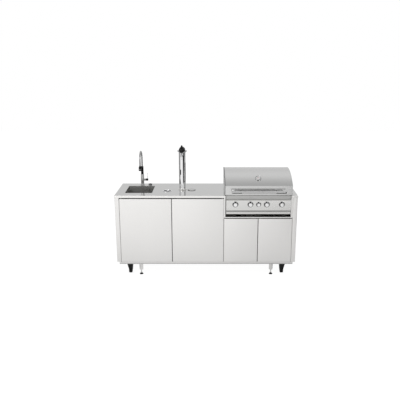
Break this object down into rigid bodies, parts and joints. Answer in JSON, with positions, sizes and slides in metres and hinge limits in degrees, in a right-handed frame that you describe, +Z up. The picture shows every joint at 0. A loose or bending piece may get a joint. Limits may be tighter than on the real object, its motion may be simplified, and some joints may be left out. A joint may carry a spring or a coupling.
{
  "type": "outdoor kitchen island",
  "caption": "Freestanding stainless outdoor kitchen island with a sink and gooseneck faucet, drink tap tower, hooded gas grill, cabinet doors, casters and levelling feet.",
  "frame": {"origin": "on the floor, under the middle of the overall width and depth", "axes": "+X to the right along the counter, +Y to the back away from the doors, +Z up"},
  "size_m": [2.0066, 0.7132, 1.4503],
  "materials": {
    "brushed_steel": "fine brushed stainless steel, semi-gloss",
    "counter_steel": "smooth polished stainless steel with soft reflections",
    "inner_steel": "mill-finish stainless steel",
    "chrome": "polished chrome",
    "cast_iron": "matte black cast iron",
    "brass": "satin brass",
    "black_plastic": "semi-gloss black",
    "dial": "steel bezel round a pale dial",
    "caster_plastic": "satin black",
    "rubber": "matte black rubber",
    "foot_plastic": "matte black pad on a zinc-plated rod"
  },
  "bodies": {
    "island": {"countertop": "counter_steel", "side_panel_left": "brushed_steel", "side_panel_right": "brushed_steel", "back_panel": "inner_steel", "divider_panel": "inner_steel", "base_pan": "brushed_steel", "finger_rail": "inner_steel", "grill_frame": "brushed_steel", "sink_bowl": "inner_steel", "sink_strainer": "chrome", "drain_trap": "chrome", "faucet_body": "chrome", "tower_column": "chrome", "tower_cap": "black_plastic", "tap_body": "chrome", "rinser_tray": "chrome", "grommet_lid": "chrome", "firebox": "inner_steel", "cooking_grate_left": "cast_iron", "cooking_grate_right": "cast_iron", "flame_tent_1": "inner_steel", "flame_tent_2": "inner_steel", "flame_tent_3": "inner_steel", "flame_tent_4": "inner_steel", "burner_set": "inner_steel", "warming_rack": "chrome", "control_panel": "brushed_steel", "gas_manifold": "brass", "igniter_module": "black_plastic"},
    "door_left": {"door_left": "brushed_steel"},
    "door_middle": {"door_middle": "brushed_steel"},
    "grill_door_left": {"grill_door_left": "brushed_steel"},
    "grill_door_right": {"grill_door_right": "brushed_steel"},
    "hood": {"hood_shell": "brushed_steel", "hood_handle": "chrome", "thermometer": "dial"},
    "burner_knob_1": {"burner_knob_1": "chrome"},
    "burner_knob_2": {"burner_knob_2": "chrome"},
    "burner_knob_3": {"burner_knob_3": "chrome"},
    "burner_knob_4": {"burner_knob_4": "chrome"},
    "igniter_knob": {"igniter_knob": "chrome"},
    "drip_tray": {"drip_tray": "brushed_steel"},
    "faucet_spout": {"faucet_spout": "chrome"},
    "spray_head": {"spray_head": "black_plastic"},
    "faucet_lever": {"faucet_lever": "black_plastic"},
    "drain_knob": {"drain_knob": "black_plastic"},
    "tap_handle": {"tap_handle": "black_plastic"},
    "rinser_star": {"rinser_star": "chrome"},
    "caster_fork_front_left": {"caster_fork_front_left": "caster_plastic"},
    "caster_fork_front_right": {"caster_fork_front_right": "caster_plastic"},
    "caster_fork_rear_left": {"caster_fork_rear_left": "caster_plastic"},
    "caster_fork_rear_right": {"caster_fork_rear_right": "caster_plastic"},
    "caster_wheel_front_left": {"caster_wheel_front_left": "rubber"},
    "caster_wheel_front_right": {"caster_wheel_front_right": "rubber"},
    "caster_wheel_rear_left": {"caster_wheel_rear_left": "rubber"},
    "caster_wheel_rear_right": {"caster_wheel_rear_right": "rubber"},
    "foot_front_left": {"foot_front_left": "foot_plastic"},
    "foot_front_right": {"foot_front_right": "foot_plastic"},
    "foot_rear_left": {"foot_rear_left": "foot_plastic"},
    "foot_rear_right": {"foot_rear_right": "foot_plastic"}
  },
  "joints": [
    {"name": "door_left_hinge", "type": "hinge", "parent": "island", "child": "door_left", "pos_m": [-0.933, -0.27665, 0.52], "axis": [0, 0, -1], "range_deg": [0, 90]},
    {"name": "door_middle_hinge", "type": "hinge", "parent": "island", "child": "door_middle", "pos_m": [0.176, -0.27665, 0.52], "axis": [0, 0, 1], "range_deg": [0, 90]},
    {"name": "grill_door_left_hinge", "type": "hinge", "parent": "island", "child": "grill_door_left", "pos_m": [0.216, -0.27665, 0.42], "axis": [0, 0, -1], "range_deg": [0, 90]},
    {"name": "grill_door_right_hinge", "type": "hinge", "parent": "island", "child": "grill_door_right", "pos_m": [0.933, -0.27665, 0.42], "axis": [0, 0, 1], "range_deg": [0, 90]},
    {"name": "hood_hinge", "type": "hinge", "parent": "island", "child": "hood", "pos_m": [0.5725, 0.20335, 0.96], "axis": [-1, 0, 0], "range_deg": [0, 85]},
    {"name": "burner_knob_1_turn", "type": "hinge", "parent": "island", "child": "burner_knob_1", "pos_m": [0.31939, -0.30865, 0.838], "axis": [0, -1, 0], "range_deg": [0, 225]},
    {"name": "burner_knob_2_turn", "type": "hinge", "parent": "island", "child": "burner_knob_2", "pos_m": [0.48342, -0.30865, 0.838], "axis": [0, -1, 0], "range_deg": [0, 225]},
    {"name": "burner_knob_3_turn", "type": "hinge", "parent": "island", "child": "burner_knob_3", "pos_m": [0.66158, -0.30865, 0.838], "axis": [0, -1, 0], "range_deg": [0, 225]},
    {"name": "burner_knob_4_turn", "type": "hinge", "parent": "island", "child": "burner_knob_4", "pos_m": [0.82561, -0.30865, 0.838], "axis": [0, -1, 0], "range_deg": [0, 225]},
    {"name": "igniter_knob_turn", "type": "hinge", "parent": "island", "child": "igniter_knob", "pos_m": [0.5725, -0.30865, 0.838], "axis": [0, -1, 0], "range_deg": [0, 90]},
    {"name": "drip_tray_slide", "type": "slide", "parent": "island", "child": "drip_tray", "axis": [0, -1, 0], "range_m": [0, 0.38]},
    {"name": "faucet_spout_swivel", "type": "hinge", "parent": "island", "child": "faucet_spout", "pos_m": [-0.7535, 0.26835, 1.1], "axis": [0, 0, 1], "range_deg": [-75, 75]},
    {"name": "spray_head_pull", "type": "slide", "parent": "faucet_spout", "child": "spray_head", "axis": [0, 0, -1], "range_m": [0, 0.045]},
    {"name": "faucet_lever_tilt", "type": "hinge", "parent": "island", "child": "faucet_lever", "pos_m": [-0.7, 0.26835, 0.996], "axis": [1, 0, 0], "range_deg": [0, 60]},
    {"name": "drain_knob_turn", "type": "hinge", "parent": "island", "child": "drain_knob", "pos_m": [-0.6645, 0.28935, 0.94], "axis": [0, 0, 1], "range_deg": [0, 90]},
    {"name": "tap_handle_tilt", "type": "hinge", "parent": "island", "child": "tap_handle", "pos_m": [-0.27, -0.05595, 1.3533], "axis": [1, 0, 0], "range_deg": [0, 35]},
    {"name": "rinser_star_press", "type": "slide", "parent": "island", "child": "rinser_star", "axis": [0, 0, 1], "range_m": [-0.005, 0], "stiffness_N_per_m": 400, "springref_m": 0.005},
    {"name": "caster_fork_front_left_swivel", "type": "hinge", "parent": "island", "child": "caster_fork_front_left", "pos_m": [-0.864, -0.20665, 0.12], "axis": [0, 0, 1], "continuous": true},
    {"name": "caster_fork_front_right_swivel", "type": "hinge", "parent": "island", "child": "caster_fork_front_right", "pos_m": [0.864, -0.20665, 0.12], "axis": [0, 0, 1], "continuous": true},
    {"name": "caster_fork_rear_left_swivel", "type": "hinge", "parent": "island", "child": "caster_fork_rear_left", "pos_m": [-0.864, 0.27335, 0.12], "axis": [0, 0, 1], "continuous": true},
    {"name": "caster_fork_rear_right_swivel", "type": "hinge", "parent": "island", "child": "caster_fork_rear_right", "pos_m": [0.864, 0.27335, 0.12], "axis": [0, 0, 1], "continuous": true},
    {"name": "caster_wheel_front_left_spin", "type": "hinge", "parent": "caster_fork_front_left", "child": "caster_wheel_front_left", "pos_m": [-0.864, -0.18165, 0.05], "axis": [1, 0, 0], "continuous": true},
    {"name": "caster_wheel_front_right_spin", "type": "hinge", "parent": "caster_fork_front_right", "child": "caster_wheel_front_right", "pos_m": [0.864, -0.18165, 0.05], "axis": [1, 0, 0], "continuous": true},
    {"name": "caster_wheel_rear_left_spin", "type": "hinge", "parent": "caster_fork_rear_left", "child": "caster_wheel_rear_left", "pos_m": [-0.864, 0.29835, 0.05], "axis": [1, 0, 0], "continuous": true},
    {"name": "caster_wheel_rear_right_spin", "type": "hinge", "parent": "caster_fork_rear_right", "child": "caster_wheel_rear_right", "pos_m": [0.864, 0.29835, 0.05], "axis": [1, 0, 0], "continuous": true},
    {"name": "foot_front_left_screw", "type": "slide", "parent": "island", "child": "foot_front_left", "axis": [0, 0, -1], "range_m": [-0.02, 0.02]},
    {"name": "foot_front_right_screw", "type": "slide", "parent": "island", "child": "foot_front_right", "axis": [0, 0, -1], "range_m": [-0.02, 0.02]},
    {"name": "foot_rear_left_screw", "type": "slide", "parent": "island", "child": "foot_rear_left", "axis": [0, 0, -1], "range_m": [-0.02, 0.02]},
    {"name": "foot_rear_right_screw", "type": "slide", "parent": "island", "child": "foot_rear_right", "axis": [0, 0, -1], "range_m": [-0.02, 0.02]}
  ]
}
